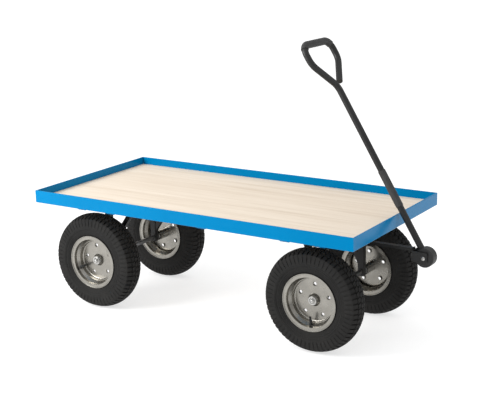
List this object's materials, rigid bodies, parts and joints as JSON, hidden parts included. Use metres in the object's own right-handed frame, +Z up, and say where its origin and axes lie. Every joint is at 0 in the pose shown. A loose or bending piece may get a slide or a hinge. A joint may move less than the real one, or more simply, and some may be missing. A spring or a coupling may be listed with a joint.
{
  "type": "platform trolley",
  "caption": "Flat-bed turntable trolley: plywood deck in a blue steel rim, pneumatic wheels and a tilting drawbar handle with a D loop.",
  "frame": {"origin": "on the floor, under the middle of the whole trolley with its handle parked", "axes": "+X towards the handle end, +Y to the left, +Z up"},
  "size_m": [1.654, 0.75, 1.1607],
  "materials": {
    "blue_paint": "glossy powder coat",
    "plywood": "sanded birch, bare",
    "black_paint": "satin powder coat",
    "black_plastic": "moulded",
    "grip_rubber": "matte sleeve",
    "tyre": "moulded rubber",
    "valve_rubber": "matte",
    "rim_zinc": "zinc plated pressing",
    "hub_zinc": "zinc plated, bright",
    "zinc": "zinc plated fasteners",
    "bright_steel": "drawn bar",
    "bearing_plastic": "nylon"
  },
  "bodies": {
    "deck": {"side_rail_left": "blue_paint", "side_rail_right": "blue_paint", "end_rail_front": "blue_paint", "end_rail_rear": "blue_paint", "plywood_deck": "plywood", "deck_screws": "zinc", "crossmember_1": "blue_paint", "crossmember_2": "blue_paint", "crossmember_3": "blue_paint", "crossmember_4": "blue_paint", "crossmember_5": "blue_paint", "rear_leg_left": "black_paint", "rear_leg_right": "black_paint", "rear_braces": "black_paint", "rear_axle": "bright_steel", "rear_axle_washers": "zinc", "rear_axle_caps": "zinc", "turntable_upper_plate": "black_paint", "turntable_upper_ring": "black_paint", "king_bolt": "zinc", "king_nut": "zinc"},
    "front_carriage": {"turntable_lower_ring": "black_paint", "turntable_balls": "bright_steel", "turntable_lower_plate": "black_paint", "front_leg_left": "black_paint", "front_leg_right": "black_paint", "front_braces": "black_paint", "front_axle": "bright_steel", "front_axle_washers": "zinc", "front_axle_caps": "zinc", "drawbar": "black_paint", "drawbar_clevis": "black_paint", "pivot_pin": "zinc", "pivot_clip": "zinc"},
    "handle": {"handle_knuckle": "black_plastic", "handle_tube": "black_paint", "bumper_sleeve": "grip_rubber", "hand_grip": "grip_rubber", "handle_end_plug": "black_plastic"},
    "rear_left_wheel": {"rear_left_tyre": "tyre", "rear_left_rim": "rim_zinc", "rear_left_hub": "hub_zinc", "rear_left_bearings": "bearing_plastic", "rear_left_valve": "valve_rubber"},
    "rear_right_wheel": {"rear_right_tyre": "tyre", "rear_right_rim": "rim_zinc", "rear_right_hub": "hub_zinc", "rear_right_bearings": "bearing_plastic", "rear_right_valve": "valve_rubber"},
    "front_left_wheel": {"front_left_tyre": "tyre", "front_left_rim": "rim_zinc", "front_left_hub": "hub_zinc", "front_left_bearings": "bearing_plastic", "front_left_valve": "valve_rubber"},
    "front_right_wheel": {"front_right_tyre": "tyre", "front_right_rim": "rim_zinc", "front_right_hub": "hub_zinc", "front_right_bearings": "bearing_plastic", "front_right_valve": "valve_rubber"}
  },
  "joints": [
    {"name": "steer", "type": "hinge", "parent": "deck", "child": "front_carriage", "pos_m": [0.441, 0, 0.42], "axis": [0, 0, 1], "range_deg": [-15, 15]},
    {"name": "handle_tilt", "type": "hinge", "parent": "front_carriage", "child": "handle", "pos_m": [0.789, 0, 0.361], "axis": [0, 1, 0], "range_deg": [0, 140]},
    {"name": "rear_left_roll", "type": "hinge", "parent": "deck", "child": "rear_left_wheel", "pos_m": [-0.611, 0.243, 0.205], "axis": [0, 1, 0], "continuous": true},
    {"name": "rear_right_roll", "type": "hinge", "parent": "deck", "child": "rear_right_wheel", "pos_m": [-0.611, -0.243, 0.205], "axis": [0, 1, 0], "continuous": true},
    {"name": "front_left_roll", "type": "hinge", "parent": "front_carriage", "child": "front_left_wheel", "pos_m": [0.441, 0.243, 0.205], "axis": [0, 1, 0], "continuous": true},
    {"name": "front_right_roll", "type": "hinge", "parent": "front_carriage", "child": "front_right_wheel", "pos_m": [0.441, -0.243, 0.205], "axis": [0, 1, 0], "continuous": true}
  ]
}
